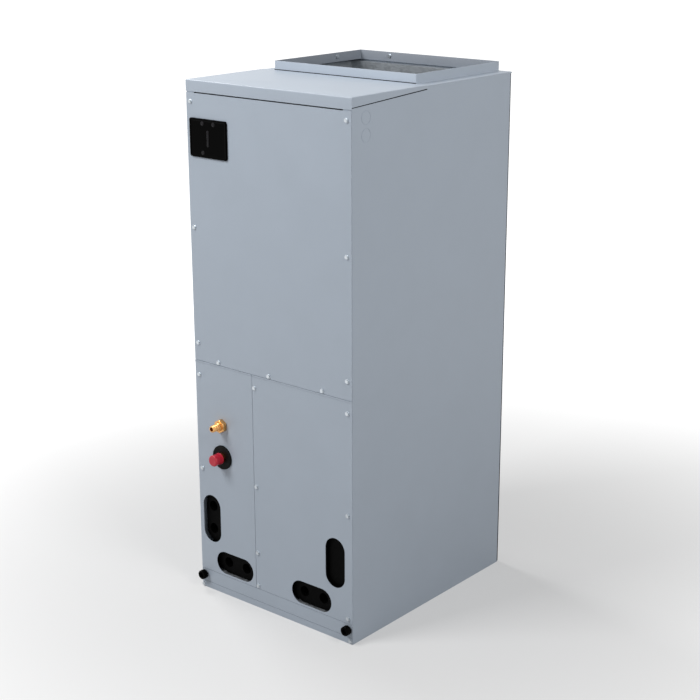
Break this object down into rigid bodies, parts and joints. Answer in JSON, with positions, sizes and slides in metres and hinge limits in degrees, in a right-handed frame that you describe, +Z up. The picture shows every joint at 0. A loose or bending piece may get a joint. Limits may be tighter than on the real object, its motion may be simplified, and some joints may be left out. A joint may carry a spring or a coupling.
{
  "type": "air handler",
  "caption": "Upright sheet steel air handler with filter rack, leaning coil, blower and supply collar, front service panels, drain slots and line stubs.",
  "frame": {"origin": "on the floor, under the middle of the whole outline with the line stubs", "axes": "+Z up along the cabinet, -Y out of the front panels, +X to the right of a person facing the front"},
  "size_m": [0.4466, 0.5694, 1.162],
  "materials": {
    "cabinet_steel": "satin, faint spangle",
    "galvanised_steel": "satin",
    "screw_steel": "zinc plated",
    "insulation": "foil faced glass fibre",
    "pan_plastic": "moulded",
    "black_plastic": "moulded",
    "red_plastic": "moulded",
    "rubber": "matte",
    "copper": "drawn tube",
    "brass": "turned",
    "aluminium_fins": "finned",
    "wheel_steel": "galvanised",
    "motor_steel": "painted",
    "card": "pressed",
    "filter_cloth": "pleated",
    "board": "printed circuit board",
    "transformer_steel": "laminated"
  },
  "bodies": {
    "root": {"side_panel_left": "cabinet_steel", "side_panel_right": "cabinet_steel", "back_panel": "cabinet_steel", "top_front_cover": "cabinet_steel", "top_rear_frame": "cabinet_steel", "base_frame": "cabinet_steel", "tube_panel": "cabinet_steel", "filter_rails": "galvanised_steel", "coil_shelf": "galvanised_steel", "mid_rail": "galvanised_steel", "top_rail": "galvanised_steel", "centre_post": "galvanised_steel", "cabinet_screws": "screw_steel", "liner_left": "insulation", "liner_right": "insulation", "liner_back": "insulation", "drain_pan": "pan_plastic", "upright_drain_pan": "pan_plastic", "coil_slab_left": "aluminium_fins", "coil_slab_right": "aluminium_fins", "coil_end_plates": "galvanised_steel", "return_bends": "copper", "coil_baffles": "galvanised_steel", "liquid_fitting": "brass", "liquid_line": "copper", "feeder_tubes": "copper", "suction_line": "copper", "suction_grommet": "rubber", "blower_scroll": "galvanised_steel", "blower_side_left": "galvanised_steel", "blower_side_right": "galvanised_steel", "motor": "motor_steel", "motor_mount": "galvanised_steel", "blower_deck": "galvanised_steel", "plenum_partition": "galvanised_steel", "heater_blank_plate": "galvanised_steel", "control_box": "galvanised_steel", "control_board": "board", "transformer": "transformer_steel", "terminal_block": "black_plastic", "capacitor": "aluminium_fins", "breaker_shelf": "galvanised_steel", "circuit_breaker": "black_plastic"},
    "blower": {"blower_wheel": "wheel_steel", "motor_shaft": "screw_steel"},
    "upper_front": {"upper_panel": "cabinet_steel", "upper_panel_screws": "screw_steel", "liner_upper_panel": "insulation"},
    "disconnect_cover": {"power_cover": "black_plastic"},
    "coil_access": {"coil_panel": "cabinet_steel", "coil_panel_screws": "screw_steel", "liner_coil_panel": "insulation", "slot_blank": "pan_plastic"},
    "filter_access": {"filter_door": "cabinet_steel"},
    "left_knob": {"knob_left": "black_plastic"},
    "right_knob": {"knob_right": "black_plastic"},
    "air_filter": {"filter_frame": "card", "filter_medium": "filter_cloth"},
    "line_cap": {"suction_cap": "red_plastic"}
  },
  "joints": [
    {"name": "blower_spin", "type": "hinge", "parent": "root", "child": "blower", "pos_m": [0, 0.0498, 0.735], "axis": [1, 0, 0], "continuous": true},
    {"name": "upper_panel_off", "type": "slide", "parent": "root", "child": "upper_front", "axis": [0, -1, 0], "range_m": [0, 0.3]},
    {"name": "disconnect_cover_off", "type": "slide", "parent": "upper_front", "child": "disconnect_cover", "axis": [0, -1, 0], "range_m": [0, 0.06]},
    {"name": "coil_panel_off", "type": "slide", "parent": "root", "child": "coil_access", "axis": [0, -1, 0], "range_m": [0, 0.3]},
    {"name": "filter_door_off", "type": "slide", "parent": "root", "child": "filter_access", "axis": [0, -1, 0], "range_m": [0, 0.56]},
    {"name": "left_knob_turn", "type": "hinge", "parent": "filter_access", "child": "left_knob", "pos_m": [-0.21125, -0.2502, 0.033], "axis": [0, -1, 0], "continuous": true},
    {"name": "right_knob_turn", "type": "hinge", "parent": "filter_access", "child": "right_knob", "pos_m": [0.21125, -0.2502, 0.033], "axis": [0, -1, 0], "continuous": true},
    {"name": "filter_out", "type": "slide", "parent": "root", "child": "air_filter", "axis": [0, -1, 0], "range_m": [0, 0.504]},
    {"name": "line_cap_off", "type": "slide", "parent": "root", "child": "line_cap", "axis": [0, -1, 0], "range_m": [0, 0.05]}
  ],
  "couplings": [
    {"joint": "filter_out", "follows": "filter_door_off", "ratio": 0.9}
  ]
}
